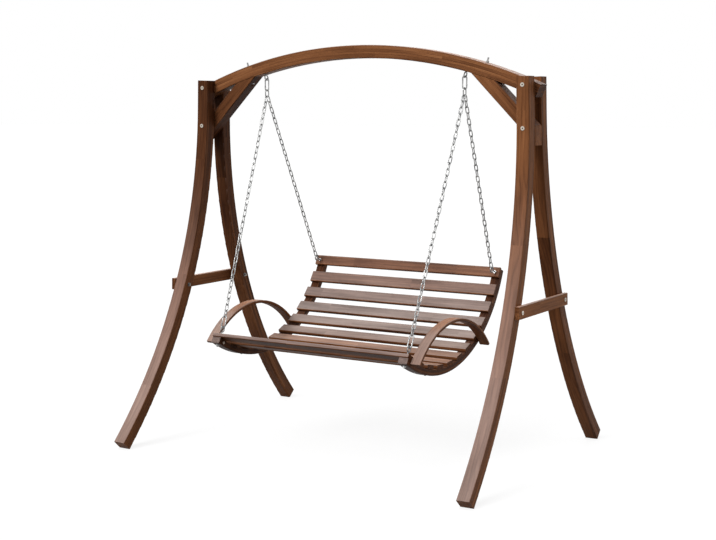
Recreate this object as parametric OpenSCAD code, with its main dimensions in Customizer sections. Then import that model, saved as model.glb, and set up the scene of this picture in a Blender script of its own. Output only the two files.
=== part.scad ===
// Hanging garden swing: a slatted bench on four chains under an arched timber frame.
// Lengths are in millimetres and angles in degrees. Z is up and the bench faces -Y.

/* [Legs] */
// Height of the leg tops above the floor
leg_top_z = 1740; // [1500:5:1950]
// Side of the square leg section
leg_w = 61; // [50:1:80]
// Radius of each leg's curve on its centreline
leg_curve_r = 2330; // [2000:10:3200]
// Height at which a leg starts to curve outward
leg_curve_z = 1606; // [1300:2:1650]
// Distance from the middle to each pair of legs at the floor
foot_x = 910; // [800:5:1100]
// Inward lean of each pair of legs
leg_lean = 1.56; // [0:0.02:3]
// Radius on the long edges of the legs
leg_edge_r = 5; // [2:0.5:10]
// Height trimmed off each foot to make its flat
foot_trim = 3.5; // [1:0.5:10]

/* [Arched beam] */
// Thickness of the beam and the braces between the front and rear legs
beam_t = 68; // [50:1:90]
// Height of the beam's section
beam_h = 60; // [50:1:80]
// Radius of the arch on its underside
beam_r = 2282; // [1900:10:3000]
// Depth of the beam's underside below the leg tops, at the legs
beam_drop = 75.7; // [66:0.1:110]
// Length of the beam beyond the outside of the legs
beam_over = 15; // [0:1:40]
// Radius on the long edges of the beam and the braces
beam_edge_r = 4; // [2:0.5:8]

/* [Knee braces] */
// Width of each brace
brace_w = 60; // [45:1:75]
// Angle of the braces to the floor
brace_angle = 45; // [40:0.5:52]
// Distance of the brace's bolt below the leg tops
brace_drop = 222.4; // [200:1:260]
// Angle along the arch where the bolt through brace and beam sits
brace_bolt_angle = 16.1; // [15.4:0.1:17]

/* [Cross bars] */
// Height of the cross bars' middle
bar_z = 740; // [500:5:1100]
// Height of a cross bar
bar_h = 56; // [40:1:80]
// Thickness of a cross bar
bar_t = 20; // [15:1:30]
// Length of a cross bar beyond the middle of each leg
bar_over = 31; // [26:1:80]
// Radius on the long edges of the cross bars
bar_edge_r = 3; // [1:0.5:6]

/* [Frame fasteners] */
// Radius of the shanks of the frame bolts
bolt_r = 4; // [3:0.25:5]
// Radius of the flat round bolt heads
head_r = 9.2; // [8:0.1:12]
// Thickness of the flat round bolt heads
head_t = 3.5; // [2.5:0.1:5]
// Width across the flats of the hexagon sockets
socket_af = 6; // [4:0.5:8]
// Outer radius of the cap nuts' sleeves
sleeve_r = 5.6; // [5.2:0.1:7]
// Length of the cap nuts' sleeves
sleeve_len = 22; // [15:1:30]
// Depth of the flat cut under each round head
seat_cut = 0.8; // [0.5:0.1:2]
// Depth of the top bolt above the beam's underside
beam_bolt_up = 36; // [25:1:42]
// Width across the flats of the hexagon nuts
nut_af = 13; // [11:0.5:17]
// Height of the hexagon nuts
nut_h = 6.5; // [5:0.5:8]
// Radius of the washers
washer_r = 9; // [8.5:0.5:12]
// Thickness of the washers
washer_t = 1.6; // [1:0.1:2.5]
// Length of the brace bolts' threads that stand above the nuts
thread_out = 16; // [4:1:25]

/* [Eye bolts] */
// Distance of the upper eyes from the middle
eye_x = 542.5; // [480:0.5:550]
// Radius of an eye, to the middle of its wire
eye_r = 12.5; // [12:0.5:16]
// Radius of the eye's wire and of its shank
eye_wire_r = 3.2; // [2.8:0.1:3.6]
// Distance from the beam to the middle of an upper eye
eye_drop = 17; // [16.5:0.5:24]
// Distance from the front rail's face to the middle of its eyes
eye_rise = 30; // [22:0.5:36]
// Distance from the top rail's face to the middle of its eyes
top_eye_rise = 36; // [22:0.5:45]
// Radius of the flange that meets the timber
flange_r = 7.5; // [6:0.5:10]
// Thickness of the flange
flange_t = 2; // [1.5:0.5:4]
// Depth of the nut recess in the top of the beam
nut_recess = 14; // [11:0.5:20]

/* [Snap hooks] */
// Overall length of a snap hook
hook_len = 64; // [60:1:80]
// Radius of the hook's bows, to the middle of the wire
hook_bow_r = 10; // [9:0.5:13]
// Radius of the hook's wire
hook_wire_r = 3; // [2.6:0.1:3.4]
// Distance from the gate's pin to the middle of the lower bow
pin_up = 8; // [7:0.5:10]
// Radius of the gate's pin
pin_r = 1.2; // [1:0.1:1.4]
// Running clearance round the gate's pin
pin_clear = 0.08; // [0.05:0.01:0.1]
// Thickness of the hook's tongue between the gate's ears
tongue_t = 2.4; // [1.8:0.1:2.8]
// Length of the hook's nose below the upper bow
nose_len = 4; // [3:0.5:6]
// Length of the blade that the closed gate takes
blade_len = 3; // [2:0.5:4]

/* [Chains] */
// Nominal pitch of the chain links
link_pitch = 29; // [24:0.5:40]
// Radius of the chain's wire
link_wire_r = 2.5; // [2:0.1:2.8]
// Outer width of a chain link
link_w = 19.5; // [18:0.5:24]
// Clearance between pieces that hang in each other
hang_clear = 0.3; // [0.2:0.05:0.5]
// Radius of the joining link's bows, to the middle of its wire
ring_bow_r = 12.8; // [12.5:0.1:16]
// Radius of the joining link's wire
ring_wire_r = 2.75; // [2.4:0.05:3.2]
// Length of the joining link, to the middle of its wire
ring_len = 37; // [34:0.5:50]

/* [Bench] */
// Radius of the bench's profile at the slats' faces
seat_r = 604; // [560:1:700]
// Height of the profile's lowest point
seat_z = 466; // [380:1:520]
// Front to back place of the profile's lowest point
seat_y = -141.5; // [-160:0.5:-120]
// Angle of the top rail along the profile
top_angle = 65.67; // [62:0.01:68]
// Angle of the front rail along the profile, in front of the lowest point
front_angle = 30.2; // [28:0.1:34]
// Number of slats between the top rail and the front rail
slats = 10; // [10:1:10]
// Width of a slat
slat_w = 57; // [45:1:70]
// Width of the top rail
top_w = 51; // [45:1:70]
// Thickness of a slat
slat_t = 18; // [16:0.5:26]
// Radius on the long edges of a slat
slat_edge_r = 4; // [1:0.5:7]
// Length of the slats beyond the side rails
slat_over = 1; // [0:0.5:20]
// Distance from the middle to the outside of a side rail
rail_x = 524; // [450:1:540]
// Width of a side rail
rail_w = 45; // [35:1:60]
// Thickness of a side rail
rail_t = 29.5; // [20:0.5:35]
// Radius on the long edges of a side rail
rail_edge_r = 3; // [1:0.5:6]
// Length of the side rails above the top rail's middle
rail_top = 21; // [18:0.5:60]
// Length of the side rails in front of the front rail's middle
rail_front = 24; // [12:0.5:30]

/* [Armrests] */
// Radius of an armrest's curve on its centreline
arm_r = 440; // [400:2.5:700]
// Width of an armrest
arm_w = 49; // [40:1:70]
// Thickness of an armrest
arm_t = 14.5; // [12:0.5:22]
// Radius on the long edges of an armrest
arm_edge_r = 4; // [1:0.5:7]
// Angle of the front arm bolt along the profile, in front of the lowest point
arm_front_angle = 29.4; // [27:0.1:30]
// Angle of the rear arm bolt along the profile
arm_rear_angle = 31.5; // [31.4:0.1:34]
// Length of an armrest beyond its front bolt
arm_front_end = 13.5; // [8:0.5:25]
// Length of an armrest beyond its rear bolt
arm_rear_end = 20; // [8:1:30]

/* [Bench fasteners] */
// Radius of the arm bolts' shanks
arm_bolt_r = 3; // [2:0.25:4]
// Radius of the arm bolts' heads
arm_head_r = 6.5; // [5:0.25:9]
// Depth of the arm bolts in the armrests
arm_bolt_in = 38; // [20:1:45]
// Radius of the slat screws' shanks
screw_r = 2; // [1.5:0.1:3]
// Radius of the slat screws' heads
screw_head_r = 4.5; // [3.5:0.1:6]
// Depth of the slat screws in the slats
screw_in = 13; // [8:0.5:15]

/* [Show] */
// Piece to draw, or all of them

/* [Hidden] */

// Facet counts: round wire, round fastener, small bow, and one turn of a large arc
wire_fn = 16;
round_fn = 32;
bow_fn = 32;
arc_fn = 240;

// Clearance of a shank in its hole, and of timber that meets on a curve
bore_clear = 0.3;
fit_clear = 0.1;
// A length for cuts that have to run past the piece
past = 400;

wood = [0.42, 0.25, 0.15];
steel = [0.68, 0.68, 0.66];

// Legs
leg_y = beam_t / 2 + leg_w / 2;
leg_h = leg_top_z / cos(leg_lean);
leg_foot_angle = asin(leg_curve_z / (leg_curve_r + leg_w / 2));
leg_extra_angle = foot_trim / cos(leg_foot_angle) / leg_curve_r * 180 / PI;

// Place of a leg's middle, front to back, and its slope at height h of the leg's own plane
function leg_bend(h, r) = h >= leg_curve_z ? 0 : asin((leg_curve_z - h) / r);
function leg_mid_y(h) = leg_y + leg_curve_r - leg_curve_r * cos(leg_bend(h, leg_curve_r));
function leg_out_y(h) = leg_y + leg_curve_r
    - (leg_curve_r - leg_w / 2) * cos(leg_bend(h, leg_curve_r - leg_w / 2));
// Distance of a leg's middle from the centre at height z
function leg_x(z) = foot_x - z * tan(leg_lean);

// Beam
arc_z = leg_top_z - beam_drop - sqrt(beam_r * beam_r - pow(leg_x(leg_top_z - beam_drop), 2));
beam_half = asin((leg_x(leg_top_z - beam_drop) + leg_w / 2 + beam_over) / (beam_r + beam_h / 2));
top_bolt_z = arc_z + sqrt(pow(beam_r + beam_bolt_up, 2) - pow(leg_x(leg_top_z - beam_drop / 2), 2));
brace_bolt_z = leg_top_z - brace_drop;
brace_bolt_x = leg_x(brace_bolt_z);
leg_bolt_heights = [top_bolt_z / cos(leg_lean), brace_bolt_z / cos(leg_lean)];

// The brace's underside, measured along the bolt that runs square to the arch
brace_reach = ((brace_bolt_x - brace_w / 2 * sin(brace_angle)) * sin(brace_angle)
    + (brace_bolt_z - brace_w / 2 * cos(brace_angle) - arc_z) * cos(brace_angle))
    / cos(brace_angle - brace_bolt_angle);
brace_seat = brace_reach + (head_r + 0.6) * tan(brace_angle - brace_bolt_angle);

// Hanging points of the right side
eye_angle = asin(eye_x / (beam_r - eye_drop));
eye_z = arc_z + (beam_r - eye_drop) * cos(eye_angle);
hang_x = eye_x - eye_r * sin(eye_angle);
pivot_z = eye_z - eye_r * cos(eye_angle) + eye_wire_r + hang_clear + hook_wire_r;
hook_span = hook_len - 2 * hook_wire_r;
ring_top_z = pivot_z - hook_span + hook_wire_r + hang_clear + ring_wire_r;
ring_low_z = ring_top_z - ring_len + ring_bow_r;
fork = [hang_x, 0, ring_low_z];

// Bench profile: circle centre, rails and angles, measured from straight down, rear positive
arc_c_z = seat_z + seat_r;
slat_half_span = slat_w / 2 - slat_edge_r * 0.6;
slat_back = sqrt(pow(seat_r + slat_t, 2) - pow(slat_half_span, 2)) - fit_clear;
rail_in_r = seat_r + slat_t;
rail_mid_r = rail_in_r + rail_t / 2;
rail_out_r = rail_in_r + rail_t;
rail_mid_x = rail_x - rail_w / 2;
slat_step = (top_angle + front_angle) / (slats + 1);
function slat_angle(i) = top_angle - slat_step * i;
// A point of the bench's profile in Y and Z
function on_profile(r, a) = [seat_y + r * sin(a), arc_c_z - r * cos(a)];
// A slat beside the foot of an armrest ends at the rail
arm_near = (slat_w / 2 + arm_t + 6) / seat_r * 180 / PI;
function beside_arm(a) = abs(a - arm_rear_angle) < arm_near || abs(a + arm_front_angle) < arm_near;
function slat_half(i) = beside_arm(slat_angle(i)) ? rail_x : rail_x + slat_over;

// Armrest: an arc through the two bolts that join it to the side rail
arm_a = on_profile(rail_mid_r, -arm_front_angle);
arm_b = on_profile(rail_mid_r, arm_rear_angle);
arm_chord = norm(arm_b - arm_a);
arm_dir = (arm_b - arm_a) / arm_chord;
arm_sink = sqrt(arm_r * arm_r - arm_chord * arm_chord / 4);
arm_c = (arm_a + arm_b) / 2 + arm_sink * [arm_dir[1], -arm_dir[0]];
arm_a_angle = atan2(arm_a[0] - arm_c[0], arm_a[1] - arm_c[1]) - arm_front_end / arm_r * 180 / PI;
arm_b_angle = atan2(arm_b[0] - arm_c[0], arm_b[1] - arm_c[1]) + arm_rear_end / arm_r * 180 / PI;

// Lower eyes, on the middles of the side rails
front_eye = concat([rail_mid_x], on_profile(seat_r - eye_rise, -front_angle));
rear_eye = concat([rail_mid_x], on_profile(seat_r - top_eye_rise, top_angle));

// Chain lines: upward unit vectors from the lower eyes to the joining link
front_up = (fork - front_eye) / norm(fork - front_eye);
rear_up = (fork - rear_eye) / norm(fork - rear_eye);
link_bow_r = link_w / 2 - link_wire_r;
link_lap = 2 * link_wire_r + hang_clear;
// Distance of the first link's upper bow below the centre of the joining link's lower bow
first_in = ring_bow_r - ring_wire_r - hang_clear - link_wire_r;
// Distances of the hook's and the last link's lower bows above the middle of their eye
hook_in = eye_r - eye_wire_r - hang_clear - hook_wire_r;
last_in = eye_r - eye_wire_r - hang_clear - link_wire_r;
front_span = norm(fork - front_eye) - first_in
    - (hook_in + hook_span - hook_wire_r - hang_clear - link_wire_r);
rear_span = norm(fork - rear_eye) - first_in - last_in;
// The front chain ends in a hook and needs an even count, the rear chain an odd one
front_links = 2 * round((front_span - link_lap) / link_pitch / 2);
rear_links = 2 * round(((rear_span - link_lap) / link_pitch - 1) / 2) + 1;

echo(swing_pivot = [0, 0, pivot_z]);
echo(front_links = front_links, rear_links = rear_links);
echo(upper_gate_pin = [hang_x + hook_bow_r, 0, pivot_z - hook_span + hook_bow_r + pin_up]);
lower_turn = turn_to(front_up);
lower_hook_top = front_eye + front_up * (hook_in + hook_span);
echo(lower_gate_pin = lower_hook_top
    + [cos(lower_turn[1]), 0, -sin(lower_turn[1])] * hook_bow_r
    - front_up * (hook_span - hook_bow_r - pin_up));
echo(lower_gate_axis = [sin(lower_turn[0]) * sin(lower_turn[1]), cos(lower_turn[0]),
    sin(lower_turn[0]) * cos(lower_turn[1])]);

// Turns that bring +Z onto a unit vector and leave X in the vertical plane of X
function turn_to(u) = [-asin(u[1]), atan2(u[0], u[2]), 0];

// General shapes

module soft_rect(w, h, r) {
    square([w - 2 * r, h], center = true);
    square([w, h - 2 * r], center = true);
    for (sx = [-1, 1], sy = [-1, 1])
        translate([sx * (w / 2 - r), sy * (h / 2 - r)])
            circle(r = r, $fn = 24);
}

module both_sides() {
    children();
    mirror([1, 0, 0])
        children();
}

// The plane of the right pair of legs, leaned inward
module right_leg_plane() {
    translate([foot_x, 0, 0])
        rotate([0, -leg_lean, 0])
            children();
}

// Places children at angle a of the bench's profile, with +Z pointing away from its centre
module at_profile(a, r) {
    translate([0, on_profile(r, a)[0], on_profile(r, a)[1]])
        rotate([180 + a, 0, 0])
            children();
}

// Half of a round ring in the XZ plane; s = 1 for the upper half and -1 for the lower
module half_ring(bow_r, wire_r, s) {
    rotate([90 * s, 0, 0])
        rotate_extrude(angle = 180, $fn = bow_fn)
            translate([bow_r, 0])
                circle(r = wire_r, $fn = wire_fn);
}

// An oval link in the XZ plane, hanging down from the middle of its upper wire
module oval_link(len, bow_r, wire_r) {
    translate([0, 0, -bow_r])
        half_ring(bow_r, wire_r, 1);
    translate([0, 0, -len + bow_r])
        half_ring(bow_r, wire_r, -1);
    for (s = [-1, 1])
        translate([s * bow_r, 0, -len + bow_r])
            cylinder(r = wire_r, h = len - 2 * bow_r, $fn = wire_fn);
}

module hex_nut(af, h, hole_r) {
    difference() {
        cylinder(r = af / 2 / cos(30), h = h, $fn = 6);
        translate([0, 0, -1])
            cylinder(r = hole_r, h = h + 2, $fn = round_fn);
    }
}

module washer(r, t, hole_r) {
    difference() {
        cylinder(r = r, h = t, $fn = round_fn);
        translate([0, 0, -1])
            cylinder(r = hole_r, h = t + 2, $fn = round_fn);
    }
}

// Flat round head with a hexagon socket, standing up from its seat
module round_head() {
    difference() {
        cylinder(r = head_r, h = head_t, $fn = round_fn);
        translate([0, 0, head_t - 2])
            cylinder(r = socket_af / 2 / cos(30), h = 3, $fn = 6);
    }
}

// Eye in the YZ plane with its shank along -Z; reach is the eye's height over the timber
module eye_bolt(reach, shank_end) {
    rotate([0, 90, 0])
        rotate_extrude($fn = 48)
            translate([eye_r, 0])
                circle(r = eye_wire_r, $fn = wire_fn);
    translate([0, 0, -shank_end])
        cylinder(r = eye_wire_r, h = shank_end - eye_r, $fn = wire_fn * 2);
    translate([0, 0, -reach])
        cylinder(r = flange_r, h = flange_t, $fn = round_fn);
}

// Frame timber

module rear_leg_blank() {
    translate([0, leg_y, leg_curve_z])
        linear_extrude(leg_h - leg_curve_z)
            soft_rect(leg_w, leg_w, leg_edge_r);
    translate([0, leg_y + leg_curve_r, leg_curve_z])
        rotate([-90, 0, 0])
            rotate([0, 90, 0])
                rotate_extrude(angle = leg_foot_angle + leg_extra_angle, $fn = arc_fn)
                    translate([leg_curve_r, 0])
                        soft_rect(leg_w, leg_w, leg_edge_r);
}

// One leg of the right pair, rear if side is 1 and front if it is -1, with its holes
module right_leg(side) {
    difference() {
        right_leg_plane()
            difference() {
                if (side > 0)
                    rear_leg_blank();
                else
                    mirror([0, 1, 0])
                        rear_leg_blank();
                for (h = leg_bolt_heights) {
                    translate([0, 0, h])
                        rotate([-90 * side, 0, 0])
                            cylinder(r = bolt_r + bore_clear, h = leg_out_y(h) + 10, $fn = round_fn);
                    // Flat seat for the round head
                    translate([0, side * (leg_out_y(h) - seat_cut), h])
                        rotate([-90 * side, 0, 0])
                            cylinder(r = head_r + bore_clear, h = 20, $fn = round_fn);
                    // The rear leg takes the cap nut's sleeve
                    if (side > 0)
                        translate([0, leg_out_y(h) - seat_cut - sleeve_len - 1, h])
                            rotate([-90, 0, 0])
                                cylinder(r = sleeve_r + bore_clear, h = sleeve_len + 10, $fn = round_fn);
                }
                translate([-leg_w, side * leg_mid_y(bar_z), bar_z])
                    rotate([0, 90, 0])
                        cylinder(r = bolt_r + bore_clear, h = leg_w * 2, $fn = round_fn);
            }
        translate([foot_x - past, side * foot_x - leg_curve_r / 2, -past])
            cube([2 * past, leg_curve_r, past]);
    }
}

module front_right_leg() {
    color(wood)
        right_leg(-1);
}

module rear_right_leg() {
    color(wood)
        right_leg(1);
}

module front_left_leg() {
    color(wood)
        mirror([1, 0, 0])
            right_leg(-1);
}

module rear_left_leg() {
    color(wood)
        mirror([1, 0, 0])
            right_leg(1);
}

// Places children on the arch at angle a, with +Z square to the arch and pointing up
module at_arch(a, r) {
    translate([r * sin(a), 0, arc_z + r * cos(a)])
        rotate([0, a, 0])
            children();
}

module top_beam() {
    color(wood)
        difference() {
            translate([0, 0, arc_z])
                rotate([90, 0, 0])
                    rotate([0, 0, 90 - beam_half])
                        rotate_extrude(angle = 2 * beam_half, $fn = arc_fn)
                            translate([beam_r + beam_h / 2, 0])
                                soft_rect(beam_h, beam_t, beam_edge_r);
            both_sides() {
                // Bolt through both legs
                right_leg_plane()
                    translate([0, -beam_t, leg_bolt_heights[0]])
                        rotate([-90, 0, 0])
                            cylinder(r = bolt_r + bore_clear, h = beam_t * 2, $fn = round_fn);
                // Bolt up through the brace
                at_arch(brace_bolt_angle, beam_r - 10)
                    cylinder(r = bolt_r + bore_clear, h = beam_h + 20, $fn = round_fn);
                // Eye bolt with its nut in a recess in the top
                at_arch(eye_angle, beam_r - 10)
                    cylinder(r = eye_wire_r + bore_clear, h = beam_h + 20, $fn = round_fn);
                at_arch(eye_angle, beam_r + beam_h - nut_recess)
                    cylinder(r = washer_r + 1.5, h = nut_recess + 20, $fn = round_fn);
            }
        }
}

module right_brace() {
    difference() {
        intersection() {
            // Straight timber on the line through the leg's bolt
            translate([brace_bolt_x, 0, brace_bolt_z])
                rotate([0, 270 + brace_angle, 0])
                    translate([0, 0, -past / 4])
                        linear_extrude(past * 1.25)
                            soft_rect(brace_w, beam_t, beam_edge_r);
            // The upper end fits under the arch
            translate([0, 0, arc_z])
                rotate([90, 0, 0])
                    cylinder(r = beam_r - fit_clear, h = beam_t * 2, center = true, $fn = arc_fn * 3);
            // The lower end is flush with the outside of the legs
            right_leg_plane()
                translate([leg_w / 2 - past * 3, -beam_t, 0])
                    cube([past * 3, beam_t * 2, leg_h * 1.2]);
        }
        right_leg_plane()
            translate([0, -beam_t, leg_bolt_heights[1]])
                rotate([-90, 0, 0])
                    cylinder(r = bolt_r + bore_clear, h = beam_t * 2, $fn = round_fn);
        at_arch(brace_bolt_angle, brace_reach - 40)
            cylinder(r = bolt_r + bore_clear, h = beam_r - brace_reach + 60, $fn = round_fn);
        // Flat seat for the bolt's head, cut square to the bolt
        at_arch(brace_bolt_angle, brace_seat - 60)
            cylinder(r = head_r + bore_clear, h = 60, $fn = round_fn);
    }
}

module right_knee_brace() {
    color(wood)
        right_brace();
}

module left_knee_brace() {
    color(wood)
        mirror([1, 0, 0])
            right_brace();
}

module right_bar() {
    right_leg_plane()
        difference() {
            translate([leg_w / 2 + bar_t / 2, 0, bar_z])
                rotate([90, 0, 0])
                    linear_extrude(2 * (leg_mid_y(bar_z) + bar_over), center = true)
                        soft_rect(bar_t, bar_h, bar_edge_r);
            for (s = [-1, 1])
                translate([leg_w / 2 - 10, s * leg_mid_y(bar_z), bar_z])
                    rotate([0, 90, 0])
                        cylinder(r = bolt_r + bore_clear, h = bar_t + 20, $fn = round_fn);
        }
}

module right_cross_bar() {
    color(wood)
        right_bar();
}

module left_cross_bar() {
    color(wood)
        mirror([1, 0, 0])
            right_bar();
}

// Frame fasteners

module leg_bolts() {
    color(steel)
        both_sides()
            right_leg_plane()
                for (h = leg_bolt_heights)
                    translate([0, -(leg_out_y(h) - seat_cut), h])
                        rotate([90, 0, 0]) {
                            round_head();
                            translate([0, 0, -2 * (leg_out_y(h) - seat_cut) + 4])
                                cylinder(r = bolt_r, h = 2 * (leg_out_y(h) - seat_cut) - 4 + head_t - 3,
                                    $fn = round_fn);
                        }
}

module leg_cap_nuts() {
    color(steel)
        both_sides()
            right_leg_plane()
                for (h = leg_bolt_heights)
                    translate([0, leg_out_y(h) - seat_cut, h])
                        rotate([-90, 0, 0]) {
                            round_head();
                            translate([0, 0, -sleeve_len])
                                difference() {
                                    cylinder(r = sleeve_r, h = sleeve_len + head_t - 3, $fn = round_fn);
                                    translate([0, 0, -1])
                                        cylinder(r = bolt_r + 0.1, h = sleeve_len, $fn = round_fn);
                                }
                        }
}

module cross_bar_bolts() {
    color(steel)
        both_sides()
            right_leg_plane()
                for (s = [-1, 1])
                    translate([leg_w / 2 + bar_t, s * leg_mid_y(bar_z), bar_z])
                        rotate([0, 90, 0]) {
                            round_head();
                            translate([0, 0, -(leg_w + bar_t + washer_t + nut_h + 3)])
                                cylinder(r = bolt_r, h = leg_w + bar_t + washer_t + nut_h + 3 + head_t - 3,
                                    $fn = round_fn);
                        }
}

module cross_bar_nuts() {
    color(steel)
        both_sides()
            right_leg_plane()
                for (s = [-1, 1])
                    translate([-leg_w / 2, s * leg_mid_y(bar_z), bar_z])
                        rotate([0, -90, 0]) {
                            washer(washer_r, washer_t, bolt_r + 0.1);
                            translate([0, 0, washer_t])
                                hex_nut(nut_af, nut_h, bolt_r + 0.1);
                        }
}

module brace_bolts() {
    color(steel)
        both_sides()
            at_arch(brace_bolt_angle, brace_seat) {
                rotate([180, 0, 0])
                    round_head();
                translate([0, 0, -head_t + 3])
                    cylinder(r = bolt_r, h = beam_r + beam_h - brace_seat + washer_t + nut_h + thread_out
                        + head_t - 3, $fn = round_fn);
            }
}

module brace_nuts() {
    color(steel)
        both_sides()
            at_arch(brace_bolt_angle, beam_r + beam_h) {
                washer(washer_r, washer_t, bolt_r + 0.1);
                translate([0, 0, washer_t])
                    hex_nut(nut_af, nut_h, bolt_r + 0.1);
            }
}

module beam_eye_bolts() {
    color(steel)
        both_sides()
            at_arch(eye_angle, beam_r - eye_drop)
                rotate([180, 0, 0])
                    eye_bolt(eye_drop, eye_drop + beam_h - nut_recess + washer_t + nut_h + 2);
}

module beam_eye_nuts() {
    color(steel)
        both_sides()
            at_arch(eye_angle, beam_r + beam_h - nut_recess) {
                washer(washer_r, washer_t, eye_wire_r + 0.1);
                translate([0, 0, washer_t])
                    hex_nut(nut_af - 2, nut_h, eye_wire_r + 0.1);
            }
}

// Snap hooks. Each hangs down from the middle of its upper wire, with its gate on the +X side.

module snap_hook() {
    low = -hook_span + hook_bow_r;
    pin_z = low + pin_up;
    translate([0, 0, -hook_bow_r])
        half_ring(hook_bow_r, hook_wire_r, 1);
    translate([0, 0, low])
        half_ring(hook_bow_r, hook_wire_r, -1);
    translate([-hook_bow_r, 0, low])
        cylinder(r = hook_wire_r, h = hook_span - 2 * hook_bow_r, $fn = wire_fn);
    // Nose with the blade that the gate closes over
    translate([hook_bow_r, 0, -hook_bow_r - nose_len])
        cylinder(r = hook_wire_r, h = nose_len, $fn = wire_fn);
    translate([hook_bow_r - 0.8, -0.9, -hook_bow_r - nose_len - blade_len])
        cube([hook_wire_r, 1.8, blade_len + 1]);
    // Flat tongue that carries the gate's pin
    translate([hook_bow_r, 0, low])
        cylinder(r = hook_wire_r, h = pin_up - hook_wire_r - 1, $fn = wire_fn);
    difference() {
        union() {
            translate([hook_bow_r - hook_wire_r + 0.3, -tongue_t / 2, pin_z - hook_wire_r - 1.5])
                cube([2 * hook_wire_r - 0.6, tongue_t, hook_wire_r + 1.5]);
            translate([hook_bow_r, tongue_t / 2, pin_z])
                rotate([90, 0, 0])
                    cylinder(r = hook_wire_r - 0.3, h = tongue_t, $fn = round_fn);
        }
        translate([hook_bow_r, hook_wire_r, pin_z])
            rotate([90, 0, 0])
                cylinder(r = pin_r + pin_clear, h = 2 * hook_wire_r, $fn = round_fn);
    }
}

module hook_gate() {
    pin_z = -hook_span + hook_bow_r + pin_up;
    tip_z = -hook_bow_r - nose_len - hang_clear;
    difference() {
        union() {
            translate([hook_bow_r, 0, pin_z])
                cylinder(r = hook_wire_r, h = tip_z - pin_z, $fn = wire_fn);
            // Round ears about the pin
            translate([hook_bow_r, hook_wire_r - 0.2, pin_z])
                rotate([90, 0, 0])
                    cylinder(r = hook_wire_r, h = 2 * hook_wire_r - 0.4, $fn = round_fn);
        }
        // Room for the tongue between the ears
        translate([hook_bow_r - 2 * hook_wire_r, -tongue_t / 2 - hang_clear, pin_z - 2 * hook_wire_r])
            cube([4 * hook_wire_r, tongue_t + 2 * hang_clear, 3 * hook_wire_r + 1.5]);
        translate([hook_bow_r, 2 * hook_wire_r, pin_z])
            rotate([90, 0, 0])
                cylinder(r = pin_r + pin_clear, h = 4 * hook_wire_r, $fn = round_fn);
        // Slot for the blade, open to the outside
        translate([hook_bow_r - 0.8 - hang_clear, -0.9 - hang_clear, tip_z - blade_len])
            cube([3 * hook_wire_r, 1.8 + 2 * hang_clear, blade_len + 1]);
    }
}

module hook_pin() {
    pin_z = -hook_span + hook_bow_r + pin_up;
    translate([hook_bow_r, hook_wire_r, pin_z])
        rotate([90, 0, 0])
            cylinder(r = pin_r, h = 2 * hook_wire_r, $fn = round_fn);
}

// Where the right upper and lower hooks hang
module at_upper_hook() {
    translate([hang_x, 0, pivot_z])
        children();
}

module at_lower_hook() {
    translate(lower_hook_top)
        rotate(lower_turn)
            children();
}

module upper_right_hook() {
    color(steel)
        at_upper_hook()
            snap_hook();
}

module upper_left_hook() {
    color(steel)
        mirror([1, 0, 0])
            at_upper_hook()
                snap_hook();
}

module lower_right_hook() {
    color(steel)
        at_lower_hook()
            snap_hook();
}

module lower_left_hook() {
    color(steel)
        mirror([1, 0, 0])
            at_lower_hook()
                snap_hook();
}

module upper_right_gate() {
    color(steel)
        at_upper_hook()
            hook_gate();
}

module upper_left_gate() {
    color(steel)
        mirror([1, 0, 0])
            at_upper_hook()
                hook_gate();
}

module lower_right_gate() {
    color(steel)
        at_lower_hook()
            hook_gate();
}

module lower_left_gate() {
    color(steel)
        mirror([1, 0, 0])
            at_lower_hook()
                hook_gate();
}

module gate_pins() {
    color(steel)
        both_sides() {
            at_upper_hook()
                hook_pin();
            at_lower_hook()
                hook_pin();
        }
}

// Joining links and chains

module right_ring() {
    translate([hang_x, 0, ring_top_z])
        rotate([0, 0, 90])
            oval_link(ring_len, ring_bow_r, ring_wire_r);
}

module right_joining_link() {
    color(steel)
        right_ring();
}

module left_joining_link() {
    color(steel)
        mirror([1, 0, 0])
            right_ring();
}

// Links from the joining link down along -up, each turned a quarter from the last
module right_chain(up, span, count) {
    pitch = (span - link_lap) / count;
    for (i = [0 : count - 1])
        translate(fork - up * (first_in + i * pitch))
            rotate(turn_to(up))
                rotate([0, 0, 90 * (i % 2)])
                    oval_link(pitch + link_lap, link_bow_r, link_wire_r);
}

module front_right_chain() {
    color(steel)
        right_chain(front_up, front_span, front_links);
}

module front_left_chain() {
    color(steel)
        mirror([1, 0, 0])
            right_chain(front_up, front_span, front_links);
}

module rear_right_chain() {
    color(steel)
        right_chain(rear_up, rear_span, rear_links);
}

module rear_left_chain() {
    color(steel)
        mirror([1, 0, 0])
            right_chain(rear_up, rear_span, rear_links);
}

// Bench timber

module right_rail() {
    low_angle = -front_angle - rail_front / rail_mid_r * 180 / PI;
    high_angle = top_angle + rail_top / rail_mid_r * 180 / PI;
    difference() {
        translate([rail_mid_x, seat_y, arc_c_z])
            rotate([0, 90, 0])
                rotate([0, 0, low_angle])
                    rotate_extrude(angle = high_angle - low_angle, $fn = arc_fn)
                        translate([rail_mid_r, 0])
                            soft_rect(rail_t, rail_w, rail_edge_r);
        for (i = [1 : slats])
            at_profile(slat_angle(i), rail_in_r)
                translate([rail_mid_x, 0, -5])
                    cylinder(r = screw_r + bore_clear, h = rail_t + 10, $fn = round_fn);
        for (a = [-front_angle, top_angle])
            at_profile(a, rail_in_r)
                translate([rail_mid_x, 0, -5])
                    cylinder(r = eye_wire_r + bore_clear, h = rail_t + 10, $fn = round_fn);
        for (p = [arm_a, arm_b])
            translate([rail_x - rail_w - 10, p[0], p[1]])
                rotate([0, 90, 0])
                    cylinder(r = arm_bolt_r + bore_clear, h = rail_w + 20, $fn = round_fn);
    }
}

module right_side_rail() {
    color(wood)
        right_rail();
}

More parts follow.
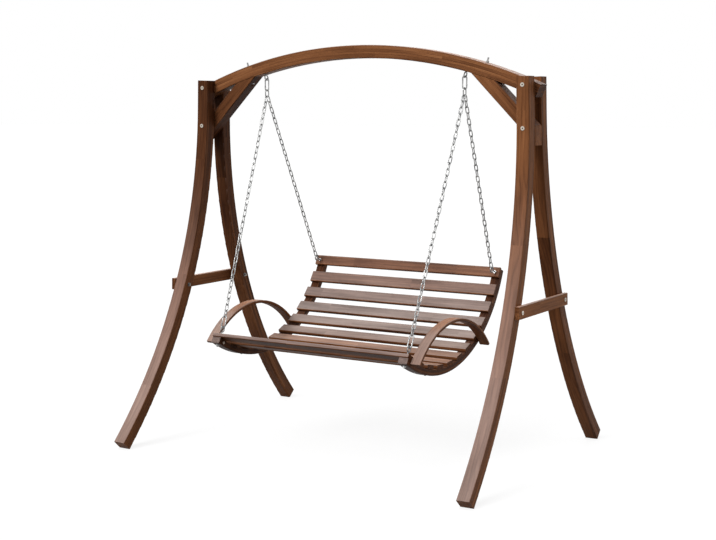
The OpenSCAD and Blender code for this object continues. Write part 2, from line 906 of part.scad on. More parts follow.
module left_side_rail() {
    color(wood)
        mirror([1, 0, 0])
            right_rail();
}

// Slat i of the bench, from the top rail (0) to the front rail
module bench_slat(i) {
    a = slat_angle(i);
    difference() {
        at_profile(a, slat_back - slat_t / 2)
            rotate([0, 90, 0])
                linear_extrude(2 * slat_half(i), center = true)
                    soft_rect(slat_t, i == 0 ? top_w : slat_w, slat_edge_r);
        for (s = [-1, 1])
            if (i == 0 || i == slats + 1)
                at_profile(a, seat_r - 10)
                    translate([s * rail_mid_x, 0, 0])
                        cylinder(r = eye_wire_r + bore_clear, h = slat_t + 20, $fn = round_fn);
            else
                at_profile(a, slat_back - screw_in - 1)
                    translate([s * rail_mid_x, 0, 0])
                        cylinder(r = screw_r + bore_clear, h = screw_in + 10, $fn = round_fn);
    }
}

module top_rail() {
    color(wood)
        bench_slat(0);
}

module slat_1() {
    color(wood)
        bench_slat(1);
}

module slat_2() {
    color(wood)
        bench_slat(2);
}

module slat_3() {
    color(wood)
        bench_slat(3);
}

module slat_4() {
    color(wood)
        bench_slat(4);
}

module slat_5() {
    color(wood)
        bench_slat(5);
}

module slat_6() {
    color(wood)
        bench_slat(6);
}

module slat_7() {
    color(wood)
        bench_slat(7);
}

module slat_8() {
    color(wood)
        bench_slat(8);
}

module slat_9() {
    color(wood)
        bench_slat(9);
}

module slat_10() {
    color(wood)
        bench_slat(10);
}

module front_rail() {
    color(wood)
        bench_slat(slats + 1);
}

module right_arm() {
    difference() {
        translate([rail_x + bore_clear + arm_w / 2, arm_c[0], arm_c[1]])
            rotate([0, -90, 0])
                rotate([0, 0, -arm_b_angle])
                    rotate_extrude(angle = arm_b_angle - arm_a_angle, $fn = arc_fn)
                        translate([arm_r, 0])
                            soft_rect(arm_t, arm_w, arm_edge_r);
        for (p = [arm_a, arm_b])
            translate([rail_x - 5, p[0], p[1]])
                rotate([0, 90, 0])
                    cylinder(r = arm_bolt_r + bore_clear, h = arm_bolt_in + 6, $fn = round_fn);
    }
}

module right_armrest() {
    color(wood)
        right_arm();
}

module left_armrest() {
    color(wood)
        mirror([1, 0, 0])
            right_arm();
}

// Bench fasteners

module arm_bolts() {
    color(steel)
        both_sides()
            for (p = [arm_a, arm_b])
                translate([rail_x - rail_w, p[0], p[1]])
                    rotate([0, 90, 0]) {
                        cylinder(r = arm_bolt_r, h = rail_w + arm_bolt_in, $fn = round_fn);
                        translate([0, 0, -3])
                            cylinder(r = arm_head_r, h = 3, $fn = round_fn);
                    }
}

module slat_screws() {
    color(steel)
        both_sides()
            for (i = [1 : slats])
                at_profile(slat_angle(i), rail_out_r)
                    translate([rail_mid_x, 0, 0]) {
                        translate([0, 0, -rail_t - screw_in])
                            cylinder(r = screw_r, h = rail_t + screw_in, $fn = round_fn);
                        cylinder(r = screw_head_r, h = 2.4, $fn = round_fn);
                    }
}

// The lower eye bolts run square through a slat and the side rail under it
module bench_eye_bolts(a, rise) {
    both_sides()
        at_profile(a, seat_r - rise)
            translate([rail_mid_x, 0, 0])
                rotate([180, 0, 0])
                    eye_bolt(rise + slat_back - slat_t - seat_r,
                        rise + slat_t + rail_t + washer_t + nut_h + 3);
}

module bench_eye_nuts(a) {
    both_sides()
        at_profile(a, rail_out_r)
            translate([rail_mid_x, 0, 0]) {
                washer(washer_r, washer_t, eye_wire_r + 0.1);
                translate([0, 0, washer_t])
                    hex_nut(nut_af - 2, nut_h, eye_wire_r + 0.1);
            }
}

module front_eye_bolts() {
    color(steel)
        bench_eye_bolts(-front_angle, eye_rise);
}

module front_eye_nuts() {
    color(steel)
        bench_eye_nuts(-front_angle);
}

module top_eye_bolts() {
    color(steel)
        bench_eye_bolts(top_angle, top_eye_rise);
}

module top_eye_nuts() {
    color(steel)
        bench_eye_nuts(top_angle);
}

top_beam();
front_left_leg();
front_right_leg();
rear_left_leg();
rear_right_leg();
left_knee_brace();
right_knee_brace();
left_cross_bar();
right_cross_bar();
leg_bolts();
leg_cap_nuts();
cross_bar_bolts();
cross_bar_nuts();
brace_bolts();
brace_nuts();
beam_eye_bolts();
beam_eye_nuts();
upper_left_hook();
upper_right_hook();
lower_left_hook();
lower_right_hook();
upper_left_gate();
upper_right_gate();
lower_left_gate();
lower_right_gate();
gate_pins();
left_joining_link();
right_joining_link();
front_left_chain();
front_right_chain();
rear_left_chain();
rear_right_chain();
left_side_rail();
right_side_rail();
top_rail();
slat_1();
slat_2();
slat_3();
slat_4();
slat_5();
slat_6();
slat_7();
slat_8();
slat_9();
slat_10();
front_rail();
left_armrest();
right_armrest();
arm_bolts();
slat_screws();
front_eye_bolts();
front_eye_nuts();
top_eye_bolts();
top_eye_nuts();
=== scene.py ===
import math

import bpy
from mathutils import Matrix, Vector


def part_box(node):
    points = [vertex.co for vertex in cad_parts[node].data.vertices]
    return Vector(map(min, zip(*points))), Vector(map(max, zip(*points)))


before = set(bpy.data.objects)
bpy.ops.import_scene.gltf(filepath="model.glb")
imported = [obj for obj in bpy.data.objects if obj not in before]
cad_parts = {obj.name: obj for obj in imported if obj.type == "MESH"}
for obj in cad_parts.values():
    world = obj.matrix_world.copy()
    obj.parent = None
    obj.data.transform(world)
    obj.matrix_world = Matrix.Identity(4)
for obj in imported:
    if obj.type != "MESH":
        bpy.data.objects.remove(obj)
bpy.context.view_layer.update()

scene = bpy.context.scene
scene.view_settings.view_transform = "Standard"

# The camera was solved on the photograph's legs, feet, beam and bolts. Its angles are in radians, its focal
# length in pixels of an image of the width given, and its place in the solution's own unit.
YAW, PITCH, ROLL = 0.55072847, 0.12129402, -0.00072968
FOCAL_PX, IMAGE_PX, SENSOR_MM = 1329.5847, 716, 36.0
CAMERA_PLACE, METRES_PER_UNIT = (1.876554839, -3.073938087, 0.92232594), 1.74

# The part's own sizes, in metres and radians. X is to the right, Y to the rear, and Z up from the floor.
# HALF is half a timber's width and half its depth, LAYER the thickness of its laminations, and ONE_PIECE
# stands in for that where it has none.
LEG_W, LEG_R, LEG_BEND_Z, LEG_Y = 0.061, 2.330, 1.606, 0.0645
LEG_HALF, LEG_LAYER = (LEG_W / 2, LEG_W / 2), 0.0122
FOOT_X, LEAN = 0.910, math.radians(1.56)
BEAM_Z, BEAM_MID_R, BEAM_END_X = -0.448, 2.312, 0.893
BEAM_HALF, BEAM_LAYER = (0.030, 0.034), 0.0120
BRACE_FAR, BRACE_HALF, BRACE_LAYER = 1.6873, (0.030, 0.034), 0.023
BAR_Z, BAR_HALF = 0.740, (0.028, 0.010)
BENCH_Y, BENCH_Z = -0.1415, 1.070
RAIL_X, RAIL_MID_R, RAIL_HALF, RAIL_LAYER = 0.5015, 0.63675, (0.01475, 0.0225), 0.0098
RAIL_FRONT, RAIL_NOSE = math.radians(30.2), 0.024
SLAT_MID_R, SLAT_HALF = 0.61235, (0.0285, 0.009)
TOP_ANGLE, SLAT_STEP = math.radians(65.67), math.radians(95.87 / 11)
ARM_R, ARM_HALF, ARM_LAYER = 0.440, (0.0245, 0.00725), 0.0049
ARM_FRONT, ARM_REAR = math.radians(29.4), math.radians(31.5)
LEG_BOLTS = [(0.8636, 1.70356), (0.86867, 1.5176)]
BAR_BOLTS = [(0.23141, BAR_Z)]
ONE_PIECE = 1.0


def add_camera():
    data = bpy.data.cameras.new("camera")
    camera = bpy.data.objects.new("camera", data)
    scene.collection.objects.link(camera)
    scene.camera = camera
    data.sensor_width = SENSOR_MM
    data.lens = FOCAL_PX / IMAGE_PX * SENSOR_MM
    data.clip_start = 0.1
    data.clip_end = 200.0
    forward = Vector((-math.sin(YAW) * math.cos(PITCH), math.cos(YAW) * math.cos(PITCH), -math.sin(PITCH)))
    right = Vector((math.cos(YAW), math.sin(YAW), 0.0))
    up = right.cross(forward)
    side = right * math.cos(ROLL) + up * math.sin(ROLL)
    top = up * math.cos(ROLL) - right * math.sin(ROLL)
    camera.rotation_mode = "QUATERNION"
    camera.rotation_quaternion = Matrix((side, top, -forward)).transposed().to_quaternion()
    camera.location = Vector(CAMERA_PLACE) * METRES_PER_UNIT


add_camera()


class Graph:
    """Short calls that add nodes to a node tree."""

    def __init__(self, tree):
        self.tree = tree
        tree.nodes.clear()

    def add(self, kind, **values):
        n = self.tree.nodes.new(kind)
        for k, v in values.items():
            setattr(n, k, v)
        return n

    def put(self, socket, value):
        if isinstance(value, bpy.types.NodeSocket):
            self.tree.links.new(value, socket)
        elif isinstance(value, tuple) and len(value) == 3 and socket.type == "RGBA":
            socket.default_value = (*value, 1.0)
        else:
            socket.default_value = value

    def math(self, operation, a, b=0.0, c=0.0):
        n = self.add("ShaderNodeMath", operation=operation)
        for socket, value in zip(n.inputs, (a, b, c)):
            self.put(socket, value)
        return n.outputs[0]

    def plus(self, a, b):
        return self.math("ADD", a, b)

    def minus(self, a, b):
        return self.math("SUBTRACT", a, b)

    def times(self, a, b):
        return self.math("MULTIPLY", a, b)

    def madd(self, a, b, c):
        """a times b, plus c."""
        return self.math("MULTIPLY_ADD", a, b, c)

    def size(self, a):
        return self.math("ABSOLUTE", a)

    def sign(self, a):
        return self.math("SIGN", a)

    def most(self, a, b):
        return self.math("MAXIMUM", a, b)

    def least(self, a, b):
        return self.math("MINIMUM", a, b)

    def far(self, a, b):
        """How far the point a, b lies from 0, 0."""
        return self.math("SQRT", self.madd(a, a, self.times(b, b)))

    def vec(self, x, y, z):
        n = self.add("ShaderNodeCombineXYZ")
        for socket, value in zip(n.inputs, (x, y, z)):
            self.put(socket, value)
        return n.outputs[0]

    def split(self, vector):
        n = self.add("ShaderNodeSeparateXYZ")
        self.put(n.inputs[0], vector)
        return n.outputs[0], n.outputs[1], n.outputs[2]

    def noise(self, vector, scale=1.0, detail=2.0, rough=0.5, bend=0.0):
        n = self.add("ShaderNodeTexNoise")
        self.put(n.inputs["Vector"], vector)
        n.inputs["Scale"].default_value = scale
        n.inputs["Detail"].default_value = detail
        n.inputs["Roughness"].default_value = rough
        n.inputs["Distortion"].default_value = bend
        return n.outputs["Fac"]

    def random(self, vector):
        n = self.add("ShaderNodeTexWhiteNoise", noise_dimensions="3D")
        self.put(n.inputs["Vector"], vector)
        return n.outputs["Value"]

    def step(self, value, low, high, out_low=0.0, out_high=1.0):
        """Goes smoothly from out_low to out_high as value goes from low to high."""
        n = self.add("ShaderNodeMapRange", interpolation_type="SMOOTHSTEP")
        for socket, v in zip(n.inputs, (value, low, high, out_low, out_high)):
            self.put(socket, v)
        return n.outputs[0]

    def ramp(self, value, stops):
        n = self.add("ShaderNodeValToRGB")
        self.put(n.inputs[0], value)
        e = n.color_ramp.elements
        while len(e) < len(stops):
            e.new(0.5)
        for item, (place, colour) in zip(e, stops):
            item.position = place
            item.color = (*colour, 1.0)
        return n.outputs[0]

    def mix(self, factor, a, b, blend="MIX"):
        n = self.add("ShaderNodeMix", data_type="RGBA", blend_type=blend)
        self.put(n.inputs[0], factor)
        self.put(n.inputs[6], a)
        self.put(n.inputs[7], b)
        return n.outputs[2]

    def seen(self):
        """1 for what the camera sees, itself or in a reflection or through glass, and 0 for light."""
        rays = self.add("ShaderNodeLightPath").outputs
        return self.most(self.most(rays["Is Camera Ray"], rays["Is Glossy Ray"]), rays["Is Transmission Ray"])

    def shader(self, colour, rough, height, strength, distance, **plain):
        """A Principled shader with its bump. The plain values are the same all over the surface."""
        b = self.add("ShaderNodeBsdfPrincipled")
        self.put(b.inputs["Base Color"], colour)
        self.put(b.inputs["Roughness"], rough)
        for k, v in plain.items():
            b.inputs[k.replace("_", " ")].default_value = v
        bump = self.add("ShaderNodeBump")
        bump.inputs["Strength"].default_value = strength
        bump.inputs["Distance"].default_value = distance
        self.put(bump.inputs["Height"], height)
        self.put(b.inputs["Normal"], bump.outputs[0])
        self.out("ShaderNodeOutputMaterial", b)

    def out(self, kind, node):
        self.put(self.add(kind).inputs["Surface"], node.outputs[0])


def new_material(name):
    m = bpy.data.materials.new(name)
    m.use_nodes = True
    return m, Graph(m.node_tree)


# Where a point lies in each kind of timber: along its grain, across it and in its depth, in metres from
# the timber's middle line, and a number that differs from timber to timber
def on_leg(g, x, y, z):
    out = g.plus(g.madd(z, math.tan(LEAN), g.size(x)), -FOOT_X)
    h = g.times(z, 1 / math.cos(LEAN))
    bent = g.least(h, LEG_BEND_Z)
    fall = g.minus(LEG_BEND_Z, bent)
    run = g.minus(LEG_Y + LEG_R, g.size(y))
    u = g.plus(g.times(g.math("ARCTAN2", fall, run), LEG_R), g.minus(bent, h))
    seed = g.plus(g.times(g.sign(x), 3.7), g.times(g.sign(y), 8.3))
    return u, g.minus(LEG_R, g.far(fall, run)), out, seed


def on_beam(g, x, y, z):
    rise = g.minus(z, BEAM_Z)
    u = g.times(g.math("ARCTAN2", x, rise), BEAM_MID_R)
    return u, g.minus(g.far(x, rise), BEAM_MID_R), y, 1.3


def on_brace(g, x, y, z):
    ax = g.size(x)
    u = g.times(g.minus(z, ax), math.sqrt(0.5))
    v = g.minus(g.times(g.plus(z, ax), math.sqrt(0.5)), BRACE_FAR)
    return u, v, y, g.times(g.sign(x), 5.1)


def on_bar(g, x, y, z):
    out = g.plus(g.madd(z, math.tan(LEAN), g.size(x)), -FOOT_X - LEG_W / 2 - BAR_HALF[1])
    return y, g.minus(z, BAR_Z), out, g.times(g.sign(x), 6.9)


def about_bench(g, y, z):
    """How far a point is from the line about which the seat curves, and its angle from straight down."""
    back = g.minus(y, BENCH_Y)
    down = g.minus(BENCH_Z, z)
    return g.far(back, down), g.math("ARCTAN2", back, down)


def on_rail(g, x, y, z):
    r, angle = about_bench(g, y, z)
    w = g.minus(g.size(x), RAIL_X)
    return g.times(angle, RAIL_MID_R), g.minus(r, RAIL_MID_R), w, g.times(g.sign(x), 2.9)


def on_slat(g, x, y, z):
    r, angle = about_bench(g, y, z)
    count = g.math("ROUND", g.times(g.minus(TOP_ANGLE, angle), 1 / SLAT_STEP))
    off = g.minus(angle, g.madd(count, -SLAT_STEP, TOP_ANGLE))
    v = g.times(r, g.math("SINE", off))
    w = g.minus(g.times(r, g.math("COSINE", off)), SLAT_MID_R)
    return x, v, w, g.times(count, 4.13)


def arm_centre():
    """Centre of the armrests' arc, Y and Z. The arc ends at two points on the side rails' middle line."""
    ends = [
        (BENCH_Y + RAIL_MID_R * math.sin(angle), BENCH_Z - RAIL_MID_R * math.cos(angle))
        for angle in (-ARM_FRONT, ARM_REAR)
    ]
    (y0, z0), (y1, z1) = ends
    chord = math.dist(*ends)
    sink = math.sqrt(ARM_R ** 2 - chord ** 2 / 4)
    return (y0 + y1) / 2 + sink * (z1 - z0) / chord, (z0 + z1) / 2 - sink * (y1 - y0) / chord


arm_low, arm_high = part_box("right_armrest")
ARM_X = (arm_low[0] + arm_high[0]) / 2
ARM_Y, ARM_Z = arm_centre()


def on_arm(g, x, y, z):
    dy = g.minus(y, ARM_Y)
    dz = g.minus(z, ARM_Z)
    u = g.times(g.math("ARCTAN2", dy, dz), ARM_R)
    return u, g.minus(g.size(x), ARM_X), g.minus(g.far(dy, dz), ARM_R), g.times(g.sign(x), 7.7)


# Colours of the stained softwood: by its lightness, where its edges are worn, and its painted sheen, by how
# far a side looks up
STAIN = [
    (0.00, (0.040, 0.0125, 0.0050)),
    (0.28, (0.109, 0.0390, 0.0150)),
    (0.52, (0.200, 0.0760, 0.0290)),
    (0.76, (0.303, 0.1210, 0.0470)),
    (1.00, (0.425, 0.1950, 0.0850)),
]
WORN = (0.42, 0.215, 0.115)
# The painted sheen's colours, a painted reflection on sides that look up
PAINTED_SHEEN = [
    (0.45, (0.305, 0.208, 0.178)),
    (0.80, (0.325, 0.272, 0.252)),
    (0.93, (0.362, 0.288, 0.258)),
    (0.99, (0.450, 0.280, 0.208)),
]

# How often each pattern changes in a metre, along the grain and across it
WOBBLE, CLOUD, STREAK, SWAY = (2.0, 8.0), (2.6, 14.0), (2.4, 95.0), (1.6, 10.0)
FIBRE, PORE, PATCH = (11.0, 620.0), (45.0, 1300.0), (9.0, 40.0)

# Joined lengths and growth rings in a metre, how far the rings slant in the timber's depth and sway along
# it, and how far a lamination wobbles, in its own thickness
LENGTHS, RINGS, RING_SLANT, RING_SWAY, LAYER_WOBBLE = 1.7, 170.0, 0.4, 9.0, 0.05

# What each mark adds to the stain's lightness, to the roughness and to the height of the surface
LIGHT = {"base": 0.47, "cloud": 0.85, "streak": 0.80, "strip": 0.14, "late": -0.13, "fibre": 0.35,
         "pore": -0.12, "glue": -0.24, "end_grain": -0.17, "soaked": -0.34}
ROUGH = {"base": 0.50, "streak": 0.30, "worn": 0.12, "pore": 0.10}
HEIGHT = {"fibre": 0.55, "late": 0.35, "glue": -0.9, "pore": -0.5}

# Where a mark sets in or fades out: in metres, by how far a side looks up or along an axis, and by the value
# of the pattern that it comes from
GLUE_FADE, WEAR_FADE, TIP_FADE, SOAK_FADE = (0.0002, 0.0011), (0.0004, 0.0032), (0.0004, 0.0012), 0.006
LEFT_SHADE_Z = (0.4, 1.5)
LOOKS_DOWN, LOOKS_UP, CAN_WEAR, LOOKS_ALONG = (-0.65, -0.20), (0.10, 0.35), (-0.6, 0.1), (0.88, 0.96)
LATE_WOOD, PORE_RANGE, PATCH_RANGE = (0.45, 1.0), (0.62, 0.72), (0.42, 0.70)

# How strong the worn colour and the painted sheen are: wear at its most, the painted light on a front end,
# what end grain takes off the sheen, and how the clouds and the lightness vary the sheen
WEAR, TIP_PAINTED_LIGHT, END_GRAIN_SHEEN = 0.55, 0.9, -0.8
CLOUD_TO_SHEEN, LIGHT_TO_SHEEN = (0.6, 0.7), (0.85, 0.60)

# The timber's bump, its depth in metres, and how much the oiled surface reflects
TIMBER_BUMP, TIMBER_BUMP_M, TIMBER_SPECULAR = 0.35, 0.0007, 0.05


def timber(name, place, half, layers, tone=0.0, left=0.0, rear_shade=0.0, sheen_tilt=(0.30, 0.62, 0.75),
           sheen_level=(0.88, 0.985, 1.0), bold=1.0, ends=None, cut=None, under_shade=-0.22, upper_shade=0.0, lit_end=None):
    """Oiled, laminated timber.

    place: the on_ function that says where a point lies in it
    half, layers: half its width and depth, and the thickness of one lamination across and in depth
    tone, left, rear_shade: added to its lightness, and to that of the left timbers and, as painted shade, of
    the timbers at the back
    sheen_tilt: from which tilt on, up to which, and how strong the painted sheen is on a side that looks up
    sheen_level: from which tilt on, up to which, and how much of the painted sheen is left where it lies
    level
    bold: how strong its streaks are
    ends: how far from the middle of the part its ends have soaked up more stain
    cut: the axis that its sawn end faces look along, 0, 1 or 2
    under_shade, upper_shade: painted shade, added to the lightness of its underside and of its upper side
    lit_end: how far along the grain its front end lies, whose end face gets a painted light patch
    """
    m, g = new_material(name)
    coordinates = g.add("ShaderNodeTexCoord")
    x, y, z = g.split(coordinates.outputs["Object"])
    facing = g.split(coordinates.outputs["Normal"])
    looks_up = facing[2]
    u, v, w, seed = place(g, x, y, z)

    # Laminations, each made of lengths joined end to end
    wobble = g.noise(g.vec(g.times(u, WOBBLE[0]), g.times(v, WOBBLE[1]), seed), detail=2.0)
    wobble = g.times(g.minus(wobble, 0.5), LAYER_WOBBLE)

    def layer(across, thick, whole):
        """The number of the lamination, and how far its glue line shows."""
        count = g.plus(g.madd(across, 1 / thick, 0.5 if thick < whole else 0.0), wobble)
        line = g.size(g.minus(g.math("FRACT", count), 0.5))
        return g.math("ROUND", count), g.step(g.times(line, thick), *GLUE_FADE, 1.0, 0.0)

    id_v, glue_v = layer(v, layers[0], 2 * half[0])
    id_w, glue_w = layer(w, layers[1], 2 * half[1])
    glue = g.most(glue_v, glue_w)
    first = g.random(g.vec(id_v, id_w, seed))
    length = g.math("FLOOR", g.madd(u, LENGTHS, g.times(first, 9.0)))
    strip = g.random(g.vec(g.plus(id_v, g.times(length, 3.0)), id_w, seed))
    shift = g.madd(strip, 11.0, seed)

    def grain(changes, start, **kind):
        """A noise drawn out along the grain."""
        along, across = changes
        return g.noise(g.vec(g.madd(u, along, start), g.times(v, across), g.times(w, across)), **kind)

    # Slow clouds of stain, streaks, growth rings, fibres and pores
    cloud = grain(CLOUD, shift, detail=3.0, rough=0.55)
    streak = grain(STREAK, shift, detail=4.0, rough=0.6)
    sway = grain(SWAY, shift, detail=2.0)
    sway = g.madd(sway, RING_SWAY, g.times(strip, 5.0))
    rings = g.plus(g.times(g.madd(w, RING_SLANT, v), RINGS), sway)
    late = g.step(g.size(g.madd(g.math("FRACT", rings), 2.0, -1.0)), *LATE_WOOD)
    fibre = grain(FIBRE, shift, detail=3.0, rough=0.65)
    pore = g.step(grain(PORE, 0.0, detail=1.0), *PORE_RANGE)

    lightness = g.madd(g.minus(cloud, 0.5), LIGHT["cloud"], LIGHT["base"] + tone)
    if left:
        shade = g.times(g.math("LESS_THAN", x, 0.0), g.step(z, *LEFT_SHADE_Z))
        lightness = g.madd(shade, left, lightness)
    # Painted shade on the timbers at the back
    if rear_shade:
        lightness = g.madd(g.math("GREATER_THAN", y, 0.0), rear_shade, lightness)
    lightness = g.madd(g.minus(streak, 0.5), LIGHT["streak"] * bold, lightness)
    lightness = g.madd(g.minus(strip, 0.5), LIGHT["strip"], lightness)
    lightness = g.madd(late, LIGHT["late"], lightness)
    lightness = g.madd(g.minus(fibre, 0.5), LIGHT["fibre"], lightness)
    lightness = g.madd(pore, LIGHT["pore"], lightness)
    lightness = g.madd(glue, LIGHT["glue"], lightness)
    # Painted shade: undersides darker, and where given, upper sides darker too
    lightness = g.madd(g.step(looks_up, *LOOKS_DOWN, 1.0, 0.0), under_shade, lightness)
    if upper_shade:
        lightness = g.madd(g.step(looks_up, *LOOKS_UP), upper_shade, lightness)
    if cut is not None:
        end_grain = g.step(g.size(facing[cut]), *LOOKS_ALONG)
        lightness = g.madd(end_grain, LIGHT["end_grain"], lightness)
    if ends is not None:
        lightness = g.madd(g.step(g.size(x), ends, ends + SOAK_FADE), LIGHT["soaked"], lightness)
    colour = g.ramp(lightness, STAIN)

    # Edges rubbed pale, in patches
    edge = g.least(g.size(g.times(v, 1 / half[0])), g.size(g.times(w, 1 / half[1])))
    gap = g.times(g.minus(1.0, edge), min(half))
    patches = grain(PATCH, seed, detail=4.0, rough=0.65)
    worn = g.times(g.step(gap, *WEAR_FADE, 1.0, 0.0), g.step(patches, *PATCH_RANGE))
    worn = g.times(worn, g.step(looks_up, *CAN_WEAR))
    colour = g.mix(g.times(worn, WEAR), colour, WORN)

    # Painted sheen: sides that look up are paler and greyer, a painted reflection of the white surroundings
    sheen_amount = g.times(g.step(looks_up, sheen_tilt[0], sheen_tilt[1], 0.0, sheen_tilt[2]), g.madd(cloud, *CLOUD_TO_SHEEN))
    sheen_amount = g.times(sheen_amount, g.step(looks_up, sheen_level[0], sheen_level[1], 1.0, sheen_level[2]))
    if cut is not None:
        sheen_amount = g.times(sheen_amount, g.madd(end_grain, END_GRAIN_SHEEN, 1.0))
    # Where given, the front end face is painted pale: a painted light patch
    if lit_end is not None:
        sheen_amount = g.most(sheen_amount, g.step(u, lit_end + TIP_FADE[0], lit_end + TIP_FADE[1], TIP_PAINTED_LIGHT, 0.0))
    grained = g.madd(lightness, *LIGHT_TO_SHEEN)
    sheen_colour = g.mix(1.0, g.ramp(looks_up, PAINTED_SHEEN), g.vec(grained, grained, grained), "MULTIPLY")
    colour = g.mix(sheen_amount, colour, sheen_colour)

    rough = g.madd(g.minus(streak, 0.5), ROUGH["streak"], ROUGH["base"])
    rough = g.madd(worn, ROUGH["worn"], rough)
    rough = g.madd(pore, ROUGH["pore"], rough)
    height = g.madd(late, HEIGHT["late"], g.times(fibre, HEIGHT["fibre"]))
    height = g.madd(glue, HEIGHT["glue"], height)
    height = g.madd(pore, HEIGHT["pore"], height)
    g.shader(colour, rough, height, TIMBER_BUMP, TIMBER_BUMP_M, Specular_IOR_Level=TIMBER_SPECULAR)
    return m


# Scratches in a metre along X, Y and Z, a bolt head's socket, how strongly its painted shade covers it and in
# what colour, and the bump's strength and depth
SCRATCHES = (2600.0, 500.0, 900.0)
SOCKET_R, SOCKET_SHADE_MIX, SOCKET_SHADE = (0.0030, 0.0038), 0.92, (0.035, 0.028, 0.022)
STEEL_BUMP, STEEL_BUMP_M = 0.25, 0.0002


def steel(name, dark, light, low, high, scale, sockets=None):
    """Plated steel, mottled, with fine scratches and dull spots.

    dark, light: the mottle's two colours
    low, high: roughness of the light and of the dark spots
    scale: how fine the mottle is
    sockets: how far a point is from the middle of the nearest bolt head, whose socket gets painted shade
    """
    m, g = new_material(name)
    spot = g.add("ShaderNodeTexCoord").outputs["Object"]
    mottle = g.noise(spot, scale, 4.0, 0.6)
    broad = g.noise(spot, scale * 0.12, 2.0)
    axes = g.split(spot)
    scratch = g.noise(g.vec(*[g.times(a, often) for a, often in zip(axes, SCRATCHES)]), 1.0, 2.0, 0.6, 0.6)
    tone = g.madd(g.minus(broad, 0.5), 0.7, mottle)
    tone = g.madd(g.minus(scratch, 0.5), 0.3, tone)
    colour = g.ramp(tone, [(0.30, dark), (0.70, light)])
    if sockets:
        # Painted shade: the bolt heads' sockets are painted dark
        colour = g.mix(g.step(sockets(g, *axes), *SOCKET_R, SOCKET_SHADE_MIX, 0.0), colour, SOCKET_SHADE)
    rough = g.step(tone, 0.25, 0.75, high, low)
    height = g.madd(mottle, 0.5, g.times(scratch, 0.3))
    g.shader(colour, rough, height, STEEL_BUMP, STEEL_BUMP_M, Metallic=1.0)
    return m


def from_points(g, a, b, points):
    """How far the point a, b is from the nearest of the points."""
    nearest = None
    for pa, pb in points:
        far = g.far(g.minus(a, pa), g.minus(b, pb))
        nearest = far if nearest is None else g.least(nearest, far)
    return nearest


def leg_sockets(g, x, y, z):
    return from_points(g, g.size(x), z, LEG_BOLTS)


def bar_sockets(g, x, y, z):
    return from_points(g, g.size(y), z, BAR_BOLTS)


leg_wood = timber(
    "leg_timber", on_leg, LEG_HALF, (LEG_LAYER, ONE_PIECE), tone=0.11, left=-0.25, rear_shade=-0.165,
    sheen_tilt=(0.08, 0.52, 0.66), bold=0.62, cut=2, under_shade=-0.06,
)
beam_wood = timber(
    "beam_timber", on_beam, BEAM_HALF, (BEAM_LAYER, ONE_PIECE), tone=0.185, ends=BEAM_END_X, cut=0,
)
brace_wood = timber(
    "brace_timber", on_brace, BRACE_HALF, (ONE_PIECE, BRACE_LAYER), tone=0.11, left=-0.31,
    sheen_tilt=(0.30, 0.62, 0.14), upper_shade=-0.22,
)
bar_wood = timber(
    "bar_timber", on_bar, BAR_HALF, (ONE_PIECE, ONE_PIECE), tone=0.13, sheen_tilt=(0.30, 0.62, 0.80),
    bold=1.3, cut=1,
)
rail_wood = timber(
    "rail_timber", on_rail, RAIL_HALF, (RAIL_LAYER, ONE_PIECE), tone=-0.16, sheen_tilt=(0.55, 0.95, 0.10),
    upper_shade=-0.17, lit_end=-RAIL_MID_R * RAIL_FRONT - RAIL_NOSE,
)
slat_wood = timber(
    "slat_timber", on_slat, SLAT_HALF, (ONE_PIECE, ONE_PIECE), sheen_tilt=(0.26, 0.68, 0.82),
    sheen_level=(0.90, 0.985, 0.75), bold=1.35, cut=0,
)
# The slats' timber with its painted sheen setting in at lower tilts, for the front board's front face
front_wood = timber(
    "front_timber", on_slat, SLAT_HALF, (ONE_PIECE, ONE_PIECE), sheen_tilt=(0.10, 0.42, 0.95),
    sheen_level=(0.90, 0.985, 0.75), bold=1.35, cut=0,
)
arm_wood = timber(
    "arm_timber", on_arm, ARM_HALF, (ONE_PIECE, ARM_LAYER), tone=0.13, sheen_tilt=(0.18, 0.55, 0.58),
    sheen_level=(0.88, 0.985, 0.38),
)
zinc = steel("zinc_steel", (0.13, 0.133, 0.138), (0.46, 0.46, 0.45), 0.24, 0.46, 260.0)
NICKEL = ((0.36, 0.32, 0.27), (0.68, 0.62, 0.54), 0.24, 0.42, 420.0)
nickel = steel("nickel_steel", *NICKEL)
leg_nickel = steel("leg_bolt_steel", *NICKEL, leg_sockets)
bar_nickel = steel("bar_bolt_steel", *NICKEL, bar_sockets)

# The material of each node, by what its name ends with. The other nodes are zinc.
BY_ENDING = {
    "_leg": leg_wood,
    "top_beam": beam_wood,
    "_knee_brace": brace_wood,
    "_cross_bar": bar_wood,
    "_side_rail": rail_wood,
    "_armrest": arm_wood,
    "top_rail": slat_wood,
    "front_rail": front_wood,
    "leg_bolts": leg_nickel,
    "leg_cap_nuts": leg_nickel,
    "cross_bar_bolts": bar_nickel,
    "arm_bolts": nickel,
}
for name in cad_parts:
    look = slat_wood if name.startswith("slat_") and name[5:].isdigit() else zinc
    for ending, choice in BY_ENDING.items():
        if name.endswith(ending):
            look = choice
    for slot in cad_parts[name].material_slots:
        slot.material = look

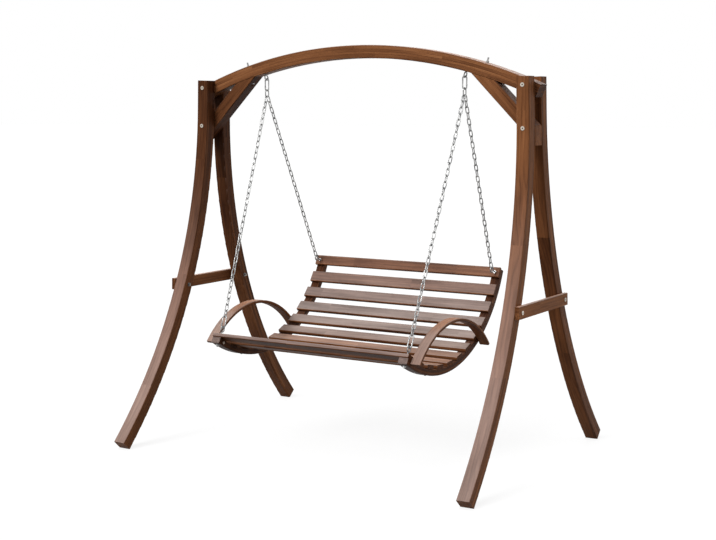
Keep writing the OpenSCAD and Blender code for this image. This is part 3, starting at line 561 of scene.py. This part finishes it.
# World: soft light on the object, plain white behind it and in its reflections
WHITE = (1.0, 1.0, 1.0, 1.0)
SOFT_LIGHT, WHITE_BEHIND = 0.20, 1.0
world = bpy.data.worlds.new("studio")
scene.world = world
world.use_nodes = True
g = Graph(world.node_tree)
both = g.add("ShaderNodeMixShader")
g.put(both.inputs[0], g.seen())
for socket, strength in zip(both.inputs[1:], (SOFT_LIGHT, WHITE_BEHIND)):
    sky = g.add("ShaderNodeBackground")
    sky.inputs["Strength"].default_value = strength
    sky.inputs["Color"].default_value = WHITE
    g.put(socket, sky.outputs[0])
g.out("ShaderNodeOutputWorld", both)

LAMP_FAR = 8.0


def lamp(name, azimuth, elevation, spread, strength):
    """A wide, far lamp in that direction, in degrees. Azimuth 0 is the front and grows to the right."""
    d = bpy.data.lights.new(name, "SUN")
    d.angle = math.radians(spread)
    d.energy = strength
    o = bpy.data.objects.new(name, d)
    az, el = math.radians(azimuth), math.radians(elevation)
    toward = Vector((math.sin(az) * math.cos(el), -math.cos(az) * math.cos(el), math.sin(el)))
    o.rotation_euler = toward.to_track_quat("Z", "Y").to_euler()
    o.location = toward * LAMP_FAR
    scene.collection.objects.link(o)


lamp("key", -16.0, 36.0, 24.0, 1.75)
lamp("top", -30.0, 68.0, 50.0, 1.63)
lamp("fill", 125.0, 25.0, 60.0, 0.80)
lamp("back", 205.0, 20.0, 60.0, 0.80)

# Floor, white to the camera and in reflections, with the object's soft shadow
FLOOR_HALF, FLOOR_GREY, FLOOR_GLOW = 90, (0.18, 0.18, 0.18, 1.0), 0.84
mesh = bpy.data.meshes.new("floor")
corners = [(FLOOR_HALF * i, FLOOR_HALF * j, 0) for i, j in ((-1, -1), (1, -1), (1, 1), (-1, 1))]
mesh.from_pydata(corners, [], [(0, 1, 2, 3)])
floor = bpy.data.objects.new("floor", mesh)
scene.collection.objects.link(floor)
floor_look, g = new_material("floor_white")
matt = g.add("ShaderNodeBsdfDiffuse")
matt.inputs["Color"].default_value = FLOOR_GREY
glow = g.add("ShaderNodeEmission")
g.put(glow.inputs["Strength"], g.times(g.seen(), FLOOR_GLOW))
total = g.add("ShaderNodeAddShader")
g.put(total.inputs[0], matt.outputs[0])
g.put(total.inputs[1], glow.outputs[0])
g.out("ShaderNodeOutputMaterial", total)
mesh.materials.append(floor_look)
